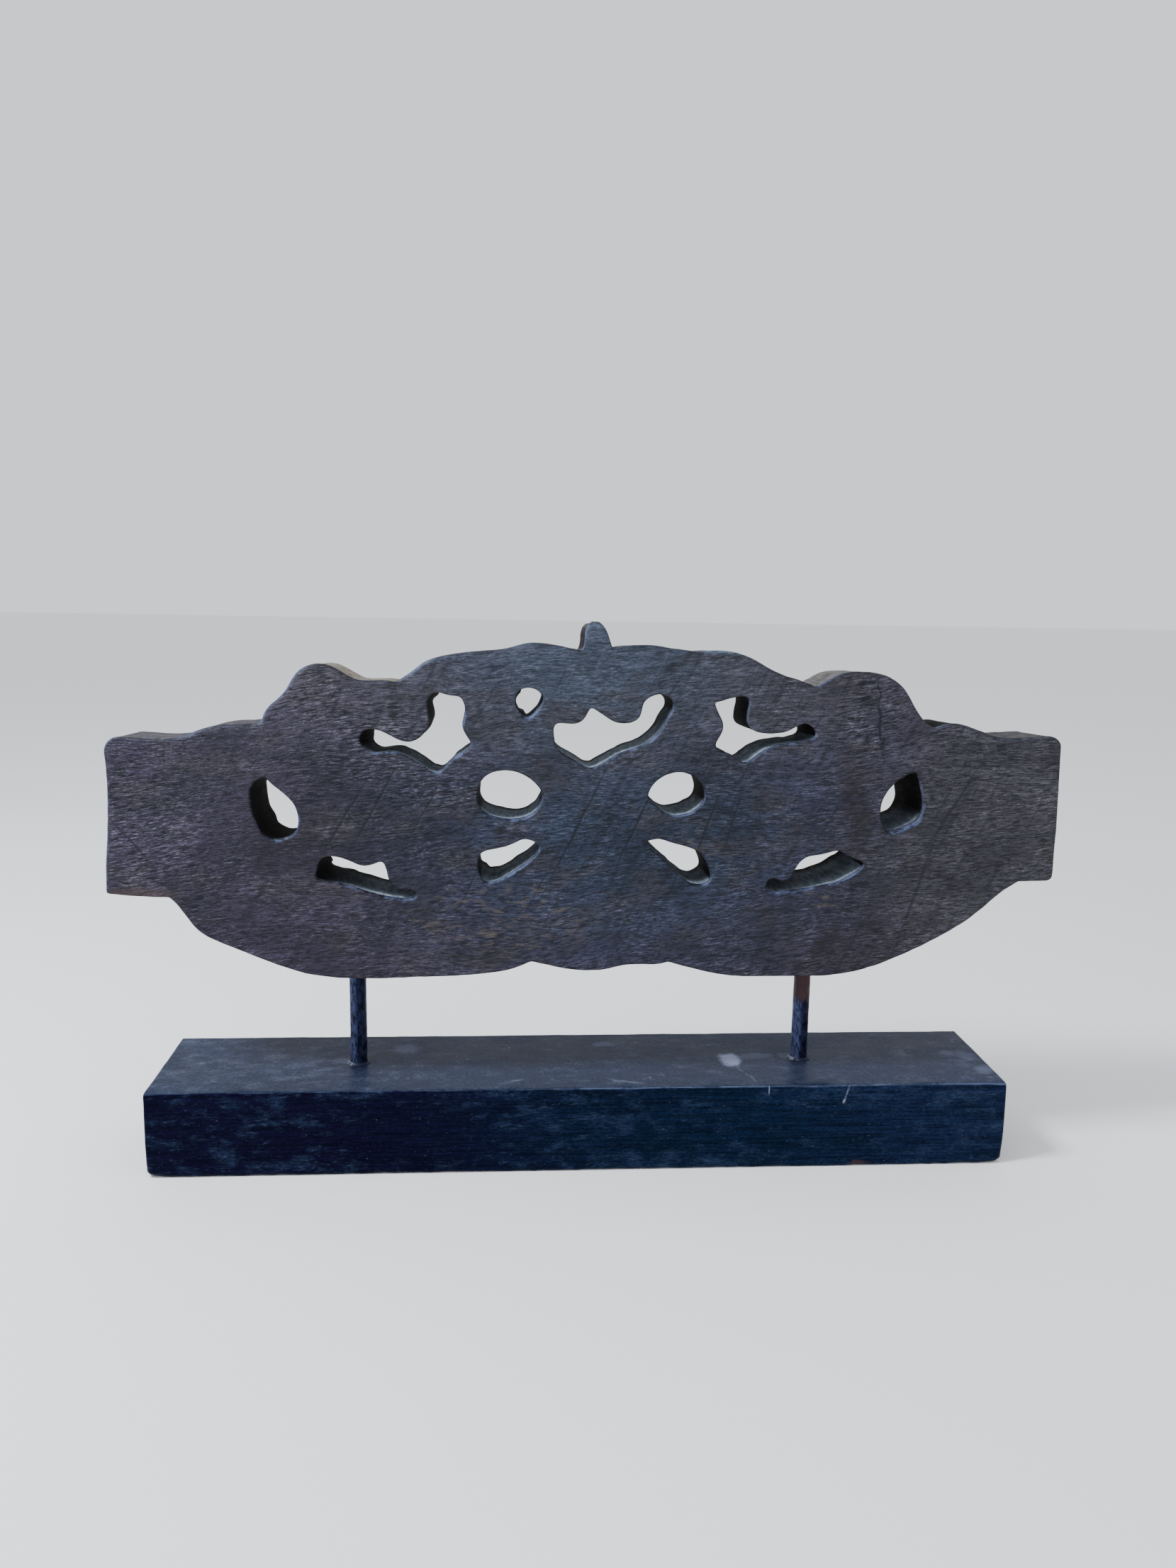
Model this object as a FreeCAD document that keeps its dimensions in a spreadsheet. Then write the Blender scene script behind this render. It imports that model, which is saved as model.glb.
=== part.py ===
import FreeCAD, Part
import os
import Sketcher

# A pierced, carved hardwood headrest panel on two iron rods that are glued into a block.
# Units are millimetres. +Z is up, +Y points away from the panel's plain face, and the origin
# is the centre of the block's underside.

SIZES = [
    ("base_length", 500.0, "block, along X"),
    ("base_depth", 84.0, "block, along Y"),
    ("base_height", 51.0, "block, along Z"),
    ("base_edge_round", 1.5, "worn edges of the block"),
    ("rod_diameter", 10.5, "painted round iron bar"),
    ("rod_spacing", 269.0, "between the two rod axes"),
    ("rod_end_chamfer", 0.8, "both ends of a rod"),
    ("socket_depth", 32.0, "blind socket in the block"),
    ("glue_gap", 0.25, "radial gap filled by the glue"),
    ("glue_bead_width", 2.4, "bead on the block's top, out from the rod"),
    ("glue_bead_height", 1.8, "bead on the block's top, up the rod"),
    ("panel_height", 112.0, "height of the panel's lower edge at the rods"),
    ("panel_thickness", 50.0, "plain face to far face"),
    ("panel_lean", 3.0, "degrees that the panel leans back from upright"),
    ("bore_depth", 36.0, "blind bore up into the panel"),
    ("bore_clearance", 0.1, "radial, rod in the panel's bore"),
    ("seat_gap", 0.05, "rod top to the bore's end"),
]

# The panel's outline in its own plane: X across, then the height above its lower edge at the
# rods. Each stretch is one smooth curve, and the stretches meet at the carving's creases.
OUTLINE = {
    "left_end": [(-271, 50), (-269.5, 75), (-268, 103), (-269, 127)],
    "left_top_corner": [(-269, 127), (-267, 134), (-261, 136)],
    "left_shoulder": [(-261, 136), (-244, 135), (-230, 136), (-216, 141), (-203, 143.5),
                      (-190, 144), (-183, 145.5)],
    "left_hump": [(-183, 145.5), (-181.5, 150.5), (-171, 161.5), (-163, 173.5), (-151, 178),
                  (-141, 174.5), (-130, 169), (-118, 169), (-109, 168)],
    "left_brow": [(-109, 168), (-103, 172), (-92, 180), (-76, 184.5), (-58, 186.5),
                  (-48, 187.5), (-35, 191), (-22, 190.3), (-5, 187)],
    "knob": [(-5, 187), (-2.7, 192.5), (-1.5, 201), (2.5, 204), (6.5, 201.5), (10.5, 193),
             (12.5, 188)],
    "right_brow": [(12.5, 188), (24, 190.5), (40, 190), (60, 187.5), (76, 188), (92, 184),
                   (110, 175), (122, 171.5), (130.5, 168)],
    "right_hump": [(130.5, 168), (137, 171.5), (146, 176), (158, 177), (171, 175),
                   (180, 169.5), (189, 156), (195, 148.5), (201, 144.5)],
    "right_shoulder": [(201, 144.5), (207, 147), (215, 147.5), (229, 143.5), (242, 140),
                       (256, 140), (270, 140.5)],
    "right_top_corner": [(270, 140.5), (275.5, 138.5), (277.5, 133)],
    "right_end": [(277.5, 133), (277.5, 107), (276.8, 80), (276, 58)],
    "right_low_corner": [(276, 58), (275.4, 56.6), (274, 56)],
    "right_ledge": [(274, 56), (256, 55.5)],
    "right_flank": [(256, 55.5), (246, 49), (230, 35.5), (209, 22), (186, 11), (163, 2.5),
                    (142, -1), (105, -1.5), (80, 0), (62, 4), (48, 8)],
    "bottom_centre": [(48, 8), (40, 6.5), (26, 6.5), (10, 3.5), (-8, 3.5), (-21, 6),
                      (-32, 8.5)],
    "left_flank": [(-32, 8.5), (-44, 4), (-65, 1), (-98, -0.5), (-131, -1), (-155, 1),
                   (-180, 8.5), (-205, 19), (-219, 26.5), (-230, 40), (-236, 46.5)],
    "left_ledge": [(-236, 46.5), (-252, 47), (-268, 48.5)],
    "left_low_corner": [(-268, 48.5), (-270.2, 48.9), (-271, 50)],
}

# The pierced openings, each one closed smooth curve in the same plane.
OPENINGS = {
    "cheek_left": [(-180, 113.5), (-172, 107), (-165.5, 99.5), (-163.5, 89), (-167.5, 81.5),
                   (-182, 80), (-188.5, 89), (-191.5, 101), (-188.5, 112)],
    "cheek_right": [(170.3, 97), (173, 107), (183, 117), (191, 119.5), (195.5, 110.5),
                    (197.2, 102), (194, 91.5), (185, 86), (175, 85), (171, 91)],
    "leaf_left": [(-154.5, 60), (-148.5, 69.5), (-138, 68.5), (-125, 65.2), (-117.5, 66),
                  (-112.7, 57.5), (-107, 52), (-100.5, 50.5), (-98.5, 47.5), (-103, 45),
                  (-113, 45.3), (-126, 48.5), (-140, 53), (-152, 56)],
    "leaf_right": [(105, 53), (108, 56.7), (116, 57), (121, 62.5), (126.5, 68.7), (138, 72),
                   (147, 73.5), (153, 71), (161.5, 65), (157, 59.5), (148, 54.5), (133, 51),
                   (119, 48.7), (108, 49.2)],
    "scroll_left": [(-129, 138), (-126, 141.5), (-114, 140), (-101, 136.5), (-95.5, 139.5),
                    (-91.7, 148), (-91.2, 159), (-87.5, 162.7), (-80, 162), (-73, 160.2),
                    (-70.3, 154), (-70.6, 143), (-67.5, 134), (-76, 126), (-86, 118),
                    (-98, 123.5), (-112, 128.5), (-125, 130)],
    "scroll_right": [(73, 159), (82, 162), (90.5, 161.8), (91.8, 153), (93, 146.5),
                     (105.5, 142.3), (117, 144.8), (126, 147), (130.5, 141), (125, 137),
                     (110, 134.5), (98, 128.5), (90, 124.7), (81, 129), (73.3, 134),
                     (75.8, 144), (74, 152)],
    "centre_scroll": [(-20.5, 139), (-18, 146), (-8, 147.3), (-3.5, 150), (1, 154.7),
                      (6, 153), (17, 148), (27, 150.5), (31, 158.5), (35, 162), (44, 162.3),
                      (47.4, 158.5), (46.5, 152.5), (42, 144), (33, 135.3), (17, 128.5),
                      (9, 124), (1.5, 121), (-7, 124), (-16, 129.5)],
    "small_round": [(-43, 160), (-38.5, 166.5), (-30, 166), (-25.7, 161), (-29.5, 152.5),
                    (-36.5, 149), (-41.5, 153.5)],
    "eye_left": [(-64.2, 105), (-57, 117.8), (-46, 120.2), (-34, 116), (-26, 104),
                 (-30, 95.5), (-46, 90.5), (-59, 94.5)],
    "eye_right": [(34.2, 107), (43, 117.3), (54, 119.5), (65, 114), (68, 105), (60, 95),
                  (50, 93), (38, 99)],
    "drop_left": [(-63.7, 63), (-61, 72.5), (-48, 76.5), (-33, 79.8), (-28.3, 76),
                  (-36, 64.3), (-46, 57.5), (-57, 54.5)],
    "drop_right": [(33.3, 78), (38, 80.3), (52, 78), (65, 73), (71, 64), (71.5, 56),
                   (66, 52.8), (52, 58.5), (42, 68), (35, 74.5)],
}

SIDES = {"left": -1, "right": 1}

doc = FreeCAD.newDocument("headrest_on_stand")


def make_sheet():
    """Put every driving size in a spreadsheet, with its name as the alias."""
    sheet = doc.addObject("Spreadsheet::Sheet", "sizes")
    for row, (alias, value, note) in enumerate(SIZES, start=1):
        sheet.set(f"A{row}", alias)
        sheet.set(f"B{row}", str(value))
        sheet.set(f"C{row}", note)
        sheet.setAlias(f"B{row}", alias)
    doc.recompute()
    return sheet


def make_body(label):
    body = doc.addObject("PartDesign::Body", label)
    body.Label = label
    return body


def make_sketch(body, name, plane_role):
    """Add a sketch to a body, on one of the body's own origin planes."""
    plane = next(item for item in body.Origin.OriginFeatures if item.Role == plane_role)
    sketch = body.newObject("Sketcher::SketchObject", name)
    sketch.AttachmentSupport = [(plane, "")]
    sketch.MapMode = "FlatFace"
    return sketch


def bind(thing, **expressions):
    """Bind properties to the sheet. A double underscore in a keyword stands for a dot."""
    for path, expression in expressions.items():
        thing.setExpression(path.replace("__", "."), expression)


def size_constraint(sketch, constraint, name, expression):
    index = sketch.addConstraint(constraint)
    sketch.renameConstraint(index, name)
    sketch.setExpression(f"Constraints.{name}", expression)


def centred_rectangle(sketch, length, depth):
    """A rectangle about the sketch's origin, with both sides bound to the sheet."""
    corners = [(-1, -1), (1, -1), (1, 1), (-1, 1)]
    points = [FreeCAD.Vector(100 * x, 50 * y, 0) for x, y in corners]
    for start, end in zip(points, points[1:] + points[:1]):
        sketch.addGeometry(Part.LineSegment(start, end), False)
    for side in range(4):
        sketch.addConstraint(Sketcher.Constraint("Coincident", side, 2, (side + 1) % 4, 1))
    for side in (0, 2):
        sketch.addConstraint(Sketcher.Constraint("Horizontal", side))
        sketch.addConstraint(Sketcher.Constraint("Vertical", side + 1))
    sketch.addConstraint(Sketcher.Constraint("Symmetric", 0, 1, 1, 2, -1, 1))
    size_constraint(sketch, Sketcher.Constraint("DistanceX", 0, 1, 0, 2, 200), "length", length)
    size_constraint(sketch, Sketcher.Constraint("DistanceY", 1, 1, 1, 2, 100), "depth", depth)


def circle_on_x_axis(sketch, side, radius):
    """A circle whose centre lies on the sketch's X axis, half the rod spacing to one side."""
    centre = FreeCAD.Vector(side * 100, 0, 0)
    index = sketch.addGeometry(Part.Circle(centre, FreeCAD.Vector(0, 0, 1), 5), False)
    sketch.addConstraint(Sketcher.Constraint("PointOnObject", index, 3, -1))
    ends = (-1, 1, index, 3) if side > 0 else (index, 3, -1, 1)
    size_constraint(sketch, Sketcher.Constraint("DistanceX", *ends, 100), f"offset_{index}",
                    "sizes.rod_spacing / 2")
    size_constraint(sketch, Sketcher.Constraint("Radius", index, 5), f"radius_{index}", radius)


def cut(body, sketch, name, **settings):
    """Pocket a sketch out of a body, and return it with the body's volume before."""
    doc.recompute()
    before = body.Shape.Volume
    pocket = body.newObject("PartDesign::Pocket", name)
    pocket.Profile = sketch
    for key, value in settings.items():
        setattr(pocket, key, value)
    return pocket, before


def insist_on_cut(body, before):
    """Stop if the last pocket didn't make the body smaller."""
    doc.recompute()
    if not body.Shape.Volume < before - 1.0:
        raise RuntimeError(f"a pocket in {body.Label} removed nothing")


def make_base_block():
    """The block that the rods stand in, with softened edges and two blind sockets."""
    body = make_body("base_block")
    footprint = make_sketch(body, "block_footprint", "XY_Plane")
    centred_rectangle(footprint, "sizes.base_length", "sizes.base_depth")
    block = body.newObject("PartDesign::Pad", "block_pad")
    block.Profile = footprint
    bind(block, Length="sizes.base_height")
    doc.recompute()
    edges = body.newObject("PartDesign::Fillet", "block_edges")
    edges.Base = (block, [f"Edge{number + 1}" for number in range(len(block.Shape.Edges))])
    bind(edges, Radius="sizes.base_edge_round")
    sockets = make_sketch(body, "socket_circles", "XY_Plane")
    bind(sockets, AttachmentOffset__Base__z="sizes.base_height")
    for side in SIDES.values():
        circle_on_x_axis(sockets, side, "sizes.rod_diameter / 2 + sizes.glue_gap")
    pocket, before = cut(body, sockets, "rod_sockets")
    bind(pocket, Length="sizes.socket_depth")
    insist_on_cut(body, before)
    return body


def stand_in_socket(body, side):
    """Place a body with its origin at the bottom of one of the block's sockets."""
    bind(body, Placement__Base__x=f"{side} * sizes.rod_spacing / 2",
         Placement__Base__z="sizes.base_height - sizes.socket_depth")


def make_rod(name, side):
    """A round bar from the bottom of its socket to just short of the panel's bore end."""
    body = make_body(f"{name}_rod")
    section = make_sketch(body, f"{name}_rod_section", "XY_Plane")
    section.addGeometry(Part.Circle(FreeCAD.Vector(), FreeCAD.Vector(0, 0, 1), 5), False)
    section.addConstraint(Sketcher.Constraint("Coincident", 0, 3, -1, 1))
    size_constraint(section, Sketcher.Constraint("Radius", 0, 5), "radius",
                    "sizes.rod_diameter / 2")
    bar = body.newObject("PartDesign::Pad", f"{name}_rod_bar")
    bar.Profile = section
    bind(bar, Length="sizes.panel_height + sizes.bore_depth - sizes.seat_gap"
                     " - sizes.base_height + sizes.socket_depth")
    doc.recompute()
    rims = [f"Edge{number + 1}" for number, edge in enumerate(bar.Shape.Edges)
            if isinstance(edge.Curve, Part.Circle)]
    chamfer = body.newObject("PartDesign::Chamfer", f"{name}_rod_ends")
    chamfer.Base = (bar, rims)
    bind(chamfer, Size="sizes.rod_end_chamfer")
    stand_in_socket(body, side)
    return body


def make_glue_collar(name, side, sheet):
    """Hardened glue: a thin sleeve round the rod in its socket, and a bead on the block."""
    body = make_body(f"{name}_glue_collar")
    profile = make_sketch(body, f"{name}_glue_profile", "XZ_Plane")
    rod = sheet.rod_diameter / 2
    wall = rod + sheet.glue_gap
    brim = rod + sheet.glue_bead_width
    top = sheet.socket_depth
    crest = top + sheet.glue_bead_height
    hollow = FreeCAD.Vector(rod + 0.3 * sheet.glue_bead_width,
                            top + 0.4 * sheet.glue_bead_height, 0)
    corners = [FreeCAD.Vector(*point, 0) for point in
               ((rod, 0), (wall, 0), (wall, top), (brim, top), (rod, crest))]
    for start, end in zip(corners[:3], corners[1:4]):
        profile.addGeometry(Part.LineSegment(start, end), False)
    profile.addGeometry(Part.Arc(corners[3], hollow, corners[4]), False)
    profile.addGeometry(Part.LineSegment(corners[4], corners[0]), False)
    for index in range(5):
        profile.addConstraint(Sketcher.Constraint("Block", index))
    ring = body.newObject("PartDesign::Revolution", f"{name}_glue_ring")
    ring.Profile = profile
    ring.ReferenceAxis = (profile, ["V_Axis"])
    ring.Angle = 360
    stand_in_socket(body, side)
    return body


def spline(points, closed=False):
    curve = Part.BSplineCurve()
    curve.interpolate([FreeCAD.Vector(x, height, 0) for x, height in points],
                      PeriodicFlag=closed)
    return curve


def stretch(name, points):
    """One stretch of the outline: an arc at a corner, a line for two points, else a spline."""
    vectors = [FreeCAD.Vector(x, height, 0) for x, height in points]
    if name.endswith("corner"):
        return Part.Arc(*vectors)
    if len(points) == 2:
        return Part.LineSegment(*vectors)
    return spline(points)


def add_fixed(sketch, curves):
    for curve in curves:
        index = sketch.addGeometry(curve, False)
        sketch.addConstraint(Sketcher.Constraint("Block", index))


def make_carved_panel():
    """The plank: outline, pierced openings, and two bores that stay upright as it leans."""
    body = make_body("carved_panel")
    outline = make_sketch(body, "panel_outline", "XZ_Plane")
    add_fixed(outline, [stretch(name, points) for name, points in OUTLINE.items()])
    plank = body.newObject("PartDesign::Pad", "plank")
    plank.Profile = outline
    plank.SideType = "Symmetric"
    bind(plank, Length="sizes.panel_thickness")

    openings = make_sketch(body, "opening_outlines", "XZ_Plane")
    add_fixed(openings, [spline(points, closed=True) for points in OPENINGS.values()])
    pocket, before = cut(body, openings, "pierced_openings", SideType="Symmetric")
    bind(pocket, Length="sizes.panel_thickness + 2")
    insist_on_cut(body, before)

    bores = make_sketch(body, "bore_circles", "XY_Plane")
    bores.AttachmentOffset = FreeCAD.Placement(
        FreeCAD.Vector(), FreeCAD.Rotation(FreeCAD.Vector(1, 0, 0), 1))
    bind(bores, AttachmentOffset__Rotation__Angle="sizes.panel_lean")
    for side in SIDES.values():
        circle_on_x_axis(bores, side, "sizes.rod_diameter / 2 + sizes.bore_clearance")
    pocket, before = cut(body, bores, "rod_bores", SideType="Symmetric")
    bind(pocket, Length="2 * sizes.bore_depth")
    insist_on_cut(body, before)

    body.Placement = FreeCAD.Placement(
        FreeCAD.Vector(), FreeCAD.Rotation(FreeCAD.Vector(-1, 0, 0), 1))
    bind(body, Placement__Base__z="sizes.panel_height",
         Placement__Rotation__Angle="sizes.panel_lean")
    return body


def check_document(parts):
    """Stop on any failed object, or any sub-part without one valid closed solid."""
    for item in doc.Objects:
        if "Invalid" in item.State or "Error" in item.State:
            raise RuntimeError(f"{item.Label} failed: {item.State}")
    for body in parts:
        if body.Shape.isNull() or not body.Shape.isValid() or len(body.Shape.Solids) != 1:
            raise RuntimeError(f"{body.Label} isn't one valid solid")


def write_parts(parts):
    os.makedirs("parts", exist_ok=True)
    for body in parts:
        body.Shape.exportStep(os.path.join("parts", f"{body.Label}.step"))
        box = body.Shape.BoundBox
        print(f"{body.Label}: {body.Shape.Volume / 1000:.1f} cm3, "
              f"x {box.XMin:.2f} to {box.XMax:.2f}, y {box.YMin:.2f} to {box.YMax:.2f}, "
              f"z {box.ZMin:.2f} to {box.ZMax:.2f}")


sheet = make_sheet()
parts = [make_base_block(), make_carved_panel()]
for name, side in SIDES.items():
    parts.append(make_rod(name, side))
    parts.append(make_glue_collar(name, side, sheet))
doc.recompute()
check_document(parts)
write_parts(parts)
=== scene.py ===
"""The looks of a pierced headrest panel on a two-rod stand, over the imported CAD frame."""

import math

import bmesh
import bpy
import numpy as np
from mathutils import Matrix, Vector
from mathutils.geometry import delaunay_2d_cdt


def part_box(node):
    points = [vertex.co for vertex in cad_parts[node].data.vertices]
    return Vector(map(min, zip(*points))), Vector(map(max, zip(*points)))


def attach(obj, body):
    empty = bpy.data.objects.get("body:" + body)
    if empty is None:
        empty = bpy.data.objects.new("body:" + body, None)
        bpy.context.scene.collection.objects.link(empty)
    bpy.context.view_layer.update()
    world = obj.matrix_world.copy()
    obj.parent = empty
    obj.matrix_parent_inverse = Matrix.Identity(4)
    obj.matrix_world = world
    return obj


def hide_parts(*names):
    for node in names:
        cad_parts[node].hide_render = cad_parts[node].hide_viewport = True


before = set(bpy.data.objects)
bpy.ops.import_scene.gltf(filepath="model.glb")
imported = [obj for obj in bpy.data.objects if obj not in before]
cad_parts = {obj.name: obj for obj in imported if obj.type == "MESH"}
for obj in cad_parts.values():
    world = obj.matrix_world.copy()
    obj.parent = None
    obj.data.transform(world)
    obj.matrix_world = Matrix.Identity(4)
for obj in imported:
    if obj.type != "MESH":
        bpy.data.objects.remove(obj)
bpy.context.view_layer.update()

MM = 0.001
SIDES = ("left", "right")

# ---- repeatable noise

HASH_X, HASH_Y, HASH_Z, HASH_SEED = 374761393, 668265263, 974634777, 1274126177
LOW_BITS = 0xFFFFFFFF


def lattice(cell, seed):
    """One repeatable number from -1 to 1 for each integer lattice point."""
    n = cell[:, 0] * HASH_X + cell[:, 1] * HASH_Y + cell[:, 2] * HASH_Z + seed * HASH_SEED
    n = n & LOW_BITS
    n = ((n ^ (n >> 13)) * HASH_SEED) & LOW_BITS
    return ((n ^ (n >> 16)) & 0xFFFF) / 32767.5 - 1.0


def bumps(points, size, seed):
    """Smooth noise from -1 to 1 at each point, with features about `size` across."""
    scaled = np.asarray(points, float) / np.asarray(size, float)
    cell = np.floor(scaled).astype(np.int64)
    part = scaled - cell
    part = part * part * (3 - 2 * part)
    total = np.zeros(len(scaled))
    for corner in np.ndindex(2, 2, 2):
        weight = np.ones(len(scaled))
        for axis, step in enumerate(corner):
            weight = weight * (part[:, axis] if step else 1 - part[:, axis])
        total += weight * lattice(cell + np.array(corner), seed)
    return total


def hollows(points, size, seed):
    """The same noise from 0 to 1, for depths that are taken off."""
    return 0.5 + 0.5 * bumps(points, size, seed)


def smoothstep(low, high, value):
    t = np.clip((value - low) / (high - low), 0, 1)
    return t * t * (3 - 2 * t)


# ---- meshes and pieces

BORE_AROUND = 72


def add_object(name, data):
    added = bpy.data.objects.new(name, data)
    bpy.context.scene.collection.objects.link(added)
    return added


def add_mesh(name, points, faces):
    """A mesh object, from an array of points or a list of such arrays."""
    mesh = bpy.data.meshes.new(name)
    mesh.from_pydata(np.vstack(points).tolist(), [], [list(map(int, face)) for face in faces])
    return add_object(name, mesh)


def new_piece(node, points, faces, body, slot, *materials):
    """A smooth mesh that stands for one CAD node and rides on its body."""
    piece = add_mesh(node + "_shown", points, faces)
    piece.data.polygons.foreach_set("use_smooth", np.ones(len(faces), bool))
    for material in materials:
        piece.data.materials.append(material)
    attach(piece, body)
    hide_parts(node)
    return piece


def set_attribute(piece, name, values):
    """Stores one number for each point, for the material to read."""
    attribute = piece.data.attributes.new(name, "FLOAT", "POINT")
    attribute.data.foreach_set("value", np.asarray(values, np.float32))


def circle(around):
    """Points evenly spaced round a unit circle, at height 0."""
    turn = 2 * math.pi * np.arange(around) / around
    return np.column_stack([np.cos(turn), np.sin(turn), np.zeros(around)])


def ring(centre, radius, z, around):
    """Points round an upright axis; radius and z are numbers or one value for each point."""
    unit = circle(around)
    return np.column_stack([centre[0] + radius * unit[:, 0], centre[1] + radius * unit[:, 1],
                            np.zeros(around) + z])


def tube(rings, around, closed=False):
    """Faces between rings of points; closed, also from the last ring to the first."""
    total = rings * around
    faces = []
    for first in range(0, total if closed else total - around, around):
        for i in range(around):
            a, b = first + i, first + (i + 1) % around
            faces.append((a, b, (b + around) % total, (a + around) % total))
    return faces


def capped_tube(rings, around):
    """An open tube with a flat end over its first ring and over its last."""
    last = (rings - 1) * around
    return tube(rings, around) + [
        tuple(reversed(range(around))), tuple(range(last, last + around))]


def cut_bore(piece, centre, radius, bottom, top):
    """Cuts a round upright hole out of a piece."""
    points = [ring(centre, radius, z, BORE_AROUND) for z in (bottom, top)]
    cutter = add_mesh("bore", points, capped_tube(2, BORE_AROUND))
    modifier = piece.modifiers.new("bore", "BOOLEAN")
    modifier.operation = "DIFFERENCE"
    modifier.solver = "EXACT"
    modifier.object = cutter
    graph = bpy.context.evaluated_depsgraph_get()
    carved = bpy.data.meshes.new_from_object(piece.evaluated_get(graph))
    piece.modifiers.clear()
    piece.data = carved
    bpy.data.objects.remove(cutter)


def rod_size(side):
    """One rod's middle, radius and end heights, from the CAD."""
    low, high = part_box(side + "_rod")
    return (low + high) / 2, (high.x - low.x) / 2, low.z, high.z


# ---- reading the CAD panel

WELD = 0.01 * MM  # points closer than this are one point
FLAT = 0.05 * MM  # a point this near to the plain face's plane is on it
LOOKS_FORWARD = -0.998  # the Y part of the plain face's normal is below this


def merged_mesh(obj):
    """Points and triangles of a CAD node, with split points joined again."""
    joined = bmesh.new()
    joined.from_mesh(obj.data)
    bmesh.ops.remove_doubles(joined, verts=joined.verts, dist=WELD)
    bmesh.ops.triangulate(joined, faces=joined.faces)
    joined.verts.index_update()
    points = np.array([vert.co for vert in joined.verts])
    triangles = np.array([[vert.index for vert in face.verts] for face in joined.faces])
    joined.free()
    return points, triangles


def face_crosses(points, triangles):
    """Each triangle's normal, as long as twice its area."""
    a, b, c = (points[triangles[:, i]] for i in range(3))
    return np.cross(b - a, c - a)


def facing_front(points, triangles):
    """The triangles that look straight forward, as the plain face does."""
    cross = face_crosses(points, triangles)
    return triangles[cross[:, 1] < LOOKS_FORWARD * np.linalg.norm(cross, axis=1)]


def plank_axes(points, front):
    """The plank's own axes: across, up, and from its plain face to its far face."""
    depth = -face_crosses(points, front).sum(0)
    depth[0] = 0.0
    depth = depth / np.linalg.norm(depth)
    across = np.array([1.0, 0.0, 0.0])
    return np.array([across, np.cross(across, depth), depth])


def boundary_loops(local, front):
    """The loops round the plain face, widest first, with the material on the left."""
    flat = np.all(np.abs(local[front][:, :, 2]) < FLAT, axis=1)
    edges = set()
    for a, b, c in front[flat].tolist():
        edges.update(((a, b), (b, c), (c, a)))
    follow = {a: b for a, b in sorted(edges) if (b, a) not in edges}
    loops = []
    while follow:
        start = min(follow)
        loop = [start]
        point = follow.pop(start)
        while point != start:
            loop.append(point)
            point = follow.pop(point)
        loops.append(local[loop][:, :2])
    return sorted(loops, key=lambda loop: -np.ptp(loop[:, 0]))


def even_samples(loop, spacing):
    """Points evenly spaced round a closed loop."""
    closed = np.vstack([loop, loop[:1]])
    steps = np.linalg.norm(np.diff(closed, axis=0), axis=1)
    along = np.concatenate([[0.0], np.cumsum(steps)])
    count = max(12, int(round(along[-1] / spacing)))
    at = np.linspace(0.0, along[-1], count, endpoint=False)
    return np.stack([np.interp(at, along, closed[:, k]) for k in range(2)], 1)


def round_smooth(values, width):
    """Gaussian smoothing round a closed loop, with the width in samples."""
    reach = int(3 * width) + 1
    offsets = np.arange(-reach, reach + 1)
    weights = np.exp(-0.5 * (offsets / width) ** 2)
    weights = weights / weights.sum()
    return sum(weight * np.roll(values, -offset, axis=0)
               for offset, weight in zip(offsets, weights))


def loop_normals(loop):
    """Unit normals out of the material, and how sharply the edge turns."""
    ahead, behind = np.roll(loop, -1, axis=0), np.roll(loop, 1, axis=0)
    tangent = ahead - behind
    step = np.linalg.norm(tangent, axis=1, keepdims=True) / 2.0
    tangent = tangent / (2 * step)
    normal = np.stack([tangent[:, 1], -tangent[:, 0]], 1)
    bend = -((ahead - 2 * loop + behind) / step**2 * normal).sum(1)
    return normal, bend


# ---- the carved panel's mesh

LOOP_STEP = 1.55 * MM  # between points along an edge
PLAIN_GRID, FAR_GRID = 2.7 * MM, 1.6 * MM  # between points on the two faces
GRID_JITTER = 0.18  # how far points stray, as a share of their grid
CLEAR_OF_RIM = 0.62  # and how near they come to an edge
RIM_STEPS, WALL_STEPS = 4, 9  # rings round each rim, and down each wall
BATCH = 4000  # points measured at a time

OUTLINE_OUT, OUTLINE_WAVER = 0.62, 0.25  # mm out from the smoothed CAD edge, and either way
OPENING_IN = 0.88  # mm that an opening closes in,
WIDE_OPENING_IN = 0.58  # and that a wide one does
WIDE_OPENING = 45 * MM
OPENING_WAVER = 0.34  # mm either way
CRISPER = 0.8  # how much an opening's corners are drawn out,
CRISP_WIDTH = 2.8  # and over how many samples

PLAIN_RIM = 1  # mm rounded off at the plain face,
UP_LEFT_RIM = 1.8  # and how much more where the edge looks up and left
FAR_RIM = 2.9  # mm rounded off at the far face
RIM_UP_LEFT = np.array([-0.55, 0.83])
WALL_UP_LEFT = np.array([-0.6, 0.8])
TIP_BENDS = (90, 180)  # bends per metre where a tip begins, and where it is full
TIP_IN = 3  # mm that a left tip closes in towards the far face
ASKEW = 0.7 * MM  # how far right of its near end an opening's far end lies,
SLANT_IN = 2.2  # or mm that it closes in from low on the right,
RIGHT_PART = (90 * MM, 140 * MM)  # if it is past here

BORE_CLEARANCE = 0.1 * MM  # round a rod in the panel
BORE_GAP = 0.05 * MM  # over a rod's top
BORE_DEPTH = 60 * MM  # from a rod's top to well below the panel


def inside(points, loops):
    """True where a point is inside the outline and outside every opening."""
    hit = np.zeros(len(points), bool)
    for loop in loops:
        x1, y1 = loop[:, 0], loop[:, 1]
        x2, y2 = np.roll(x1, -1), np.roll(y1, -1)
        rise = np.where(y2 == y1, 1.0, y2 - y1)
        for start in range(0, len(points), BATCH):
            px, py = points[start:start + BATCH, :, None].transpose(1, 0, 2)
            crossed = ((y1 > py) != (y2 > py)) & (px < x1 + (py - y1) * (x2 - x1) / rise)
            hit[start:start + BATCH] ^= crossed.sum(1) % 2 == 1
    return hit


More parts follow.
